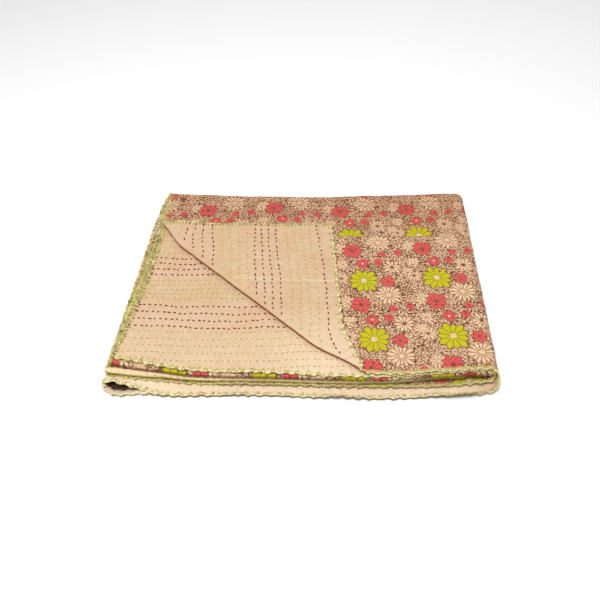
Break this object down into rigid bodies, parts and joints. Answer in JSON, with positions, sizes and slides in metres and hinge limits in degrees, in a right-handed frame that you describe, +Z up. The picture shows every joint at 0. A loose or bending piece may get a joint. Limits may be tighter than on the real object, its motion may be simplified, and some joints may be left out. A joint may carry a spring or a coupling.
{
  "type": "folded kantha quilt",
  "caption": "Light hand-stitched cotton quilt, flower print on one side and plain cream on the other, folded into a flat stack with one corner turned back.",
  "frame": {"origin": "on the surface it rests on, under the middle of the folded stack", "axes": "+X along the long side towards the round turned end, +Y away from the front edges, +Z up"},
  "size_m": [0.6985, 0.5055, 0.0427],
  "materials": {
    "printed_cotton": "matt printed cotton with fine puckers between stitch rows",
    "cream_cotton": "matt plain-woven cotton with fine puckers between stitch rows"
  },
  "bodies": {
    "root": {"printed_top": "printed_cotton", "cream_backing": "cream_cotton"}
  },
  "joints": []
}
